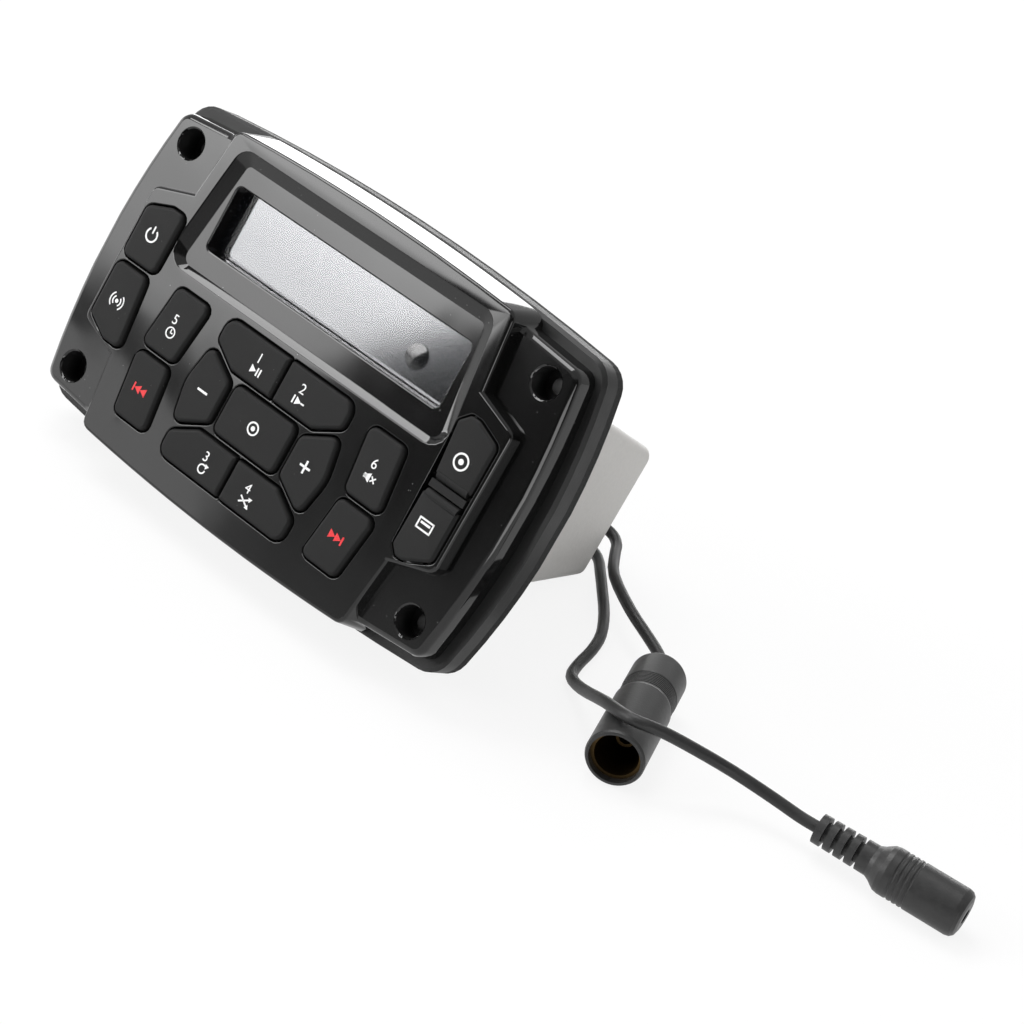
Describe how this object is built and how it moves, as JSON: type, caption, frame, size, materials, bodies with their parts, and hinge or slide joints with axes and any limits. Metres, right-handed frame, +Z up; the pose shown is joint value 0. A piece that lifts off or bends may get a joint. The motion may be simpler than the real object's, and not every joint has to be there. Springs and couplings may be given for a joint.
{
  "type": "marine stereo",
  "caption": "Flush-mount marine stereo with a bowed black fascia, rubber keypad, display, port covers, tapered rear chassis and two short leads.",
  "frame": {"origin": "middle of the footprint of the unit without its leads, on the table it rests on", "axes": "+X to the right seen from the front, +Y to the rear, +Z up; the face leans back by 20.3 degrees"},
  "size_m": [0.2563, 0.1047, 0.0868],
  "materials": {
    "bezel_gloss": "polished black",
    "frame_black": "satin black",
    "gasket_foam": "soft dark grey",
    "chassis_grey": "matte warm grey",
    "lens": "clear, slightly tinted",
    "lcd": "silver reflective screen",
    "backlight": "white",
    "sensor": "dark dome",
    "key_rubber": "matte dark grey",
    "board": "green laminate",
    "socket_black": "black",
    "plated_steel": "plated",
    "connector_white": "natural white",
    "aluminium": "plain",
    "ribbon": "pale flat cable",
    "brass": "plain",
    "cord": "matte dark grey sheath",
    "plug": "matte dark grey"
  },
  "bodies": {
    "stereo": {"front_bezel": "bezel_gloss", "rear_frame": "frame_black", "gasket": "gasket_foam", "chassis_tub": "chassis_grey", "display_lens": "lens", "lcd_panel": "lcd", "lcd_backlight": "backlight", "remote_sensor": "sensor", "cover_anchor": "key_rubber", "keypad_mat": "key_rubber", "keypad_board": "board", "port_board": "board", "main_board": "board", "aux_jack": "socket_black", "amplifier_chip": "socket_black", "usb_shell": "plated_steel", "tuner_can": "plated_steel", "bezel_screws": "plated_steel", "tub_screws": "plated_steel", "usb_tongue": "connector_white", "harness_socket": "connector_white", "heat_spreader": "aluminium", "capacitors": "aluminium", "board_ribbon": "ribbon", "harness_pins": "brass", "antenna_sleeve": "brass", "antenna_contact": "brass", "antenna_cord": "cord", "jack_cord": "cord", "cord_boots": "cord", "antenna_socket": "plug", "jack_relief": "plug", "jack_body": "plug"},
    "key_power": {"key_power": "key_rubber"},
    "key_band": {"key_band": "key_rubber"},
    "key_5": {"key_5": "key_rubber"},
    "key_6": {"key_6": "key_rubber"},
    "key_previous": {"key_previous": "key_rubber"},
    "key_next": {"key_next": "key_rubber"},
    "key_1": {"key_1": "key_rubber"},
    "key_2": {"key_2": "key_rubber"},
    "key_3": {"key_3": "key_rubber"},
    "key_4": {"key_4": "key_rubber"},
    "key_volume_down": {"key_volume_down": "key_rubber"},
    "key_volume_up": {"key_volume_up": "key_rubber"},
    "key_select": {"key_select": "key_rubber"},
    "aux_cover": {"aux_cover": "key_rubber"},
    "usb_cover": {"usb_cover": "key_rubber"}
  },
  "joints": [
    {"name": "key_power_press", "type": "slide", "parent": "stereo", "child": "key_power", "axis": [0, 0.9378, -0.347], "range_m": [0, 0.001], "stiffness_N_per_m": 800},
    {"name": "key_band_press", "type": "slide", "parent": "stereo", "child": "key_band", "axis": [0, 0.9378, -0.347], "range_m": [0, 0.001], "stiffness_N_per_m": 800},
    {"name": "key_5_press", "type": "slide", "parent": "stereo", "child": "key_5", "axis": [0, 0.9378, -0.347], "range_m": [0, 0.001], "stiffness_N_per_m": 800},
    {"name": "key_6_press", "type": "slide", "parent": "stereo", "child": "key_6", "axis": [0, 0.9378, -0.347], "range_m": [0, 0.001], "stiffness_N_per_m": 800},
    {"name": "key_previous_press", "type": "slide", "parent": "stereo", "child": "key_previous", "axis": [0, 0.9378, -0.347], "range_m": [0, 0.001], "stiffness_N_per_m": 800},
    {"name": "key_next_press", "type": "slide", "parent": "stereo", "child": "key_next", "axis": [0, 0.9378, -0.347], "range_m": [0, 0.001], "stiffness_N_per_m": 800},
    {"name": "key_1_press", "type": "slide", "parent": "stereo", "child": "key_1", "axis": [0, 0.9378, -0.347], "range_m": [0, 0.001], "stiffness_N_per_m": 800},
    {"name": "key_2_press", "type": "slide", "parent": "stereo", "child": "key_2", "axis": [0, 0.9378, -0.347], "range_m": [0, 0.001], "stiffness_N_per_m": 800},
    {"name": "key_3_press", "type": "slide", "parent": "stereo", "child": "key_3", "axis": [0, 0.9378, -0.347], "range_m": [0, 0.001], "stiffness_N_per_m": 800},
    {"name": "key_4_press", "type": "slide", "parent": "stereo", "child": "key_4", "axis": [0, 0.9378, -0.347], "range_m": [0, 0.001], "stiffness_N_per_m": 800},
    {"name": "key_volume_down_press", "type": "slide", "parent": "stereo", "child": "key_volume_down", "axis": [0, 0.9378, -0.347], "range_m": [0, 0.001], "stiffness_N_per_m": 800},
    {"name": "key_volume_up_press", "type": "slide", "parent": "stereo", "child": "key_volume_up", "axis": [0, 0.9378, -0.347], "range_m": [0, 0.001], "stiffness_N_per_m": 800},
    {"name": "key_select_press", "type": "slide", "parent": "stereo", "child": "key_select", "axis": [0, 0.9378, -0.347], "range_m": [0, 0.001], "stiffness_N_per_m": 800},
    {"name": "aux_cover_hinge", "type": "hinge", "parent": "stereo", "child": "aux_cover", "pos_m": [0.0523, -0.03597, 0.04872], "axis": [1, 0, 0], "range_deg": [0, 90], "stiffness_Nm_per_rad": 0.001},
    {"name": "usb_cover_hinge", "type": "hinge", "parent": "stereo", "child": "usb_cover", "pos_m": [0.0523, -0.03774, 0.04393], "axis": [-1, 0, 0], "range_deg": [0, 90], "stiffness_Nm_per_rad": 0.001}
  ]
}
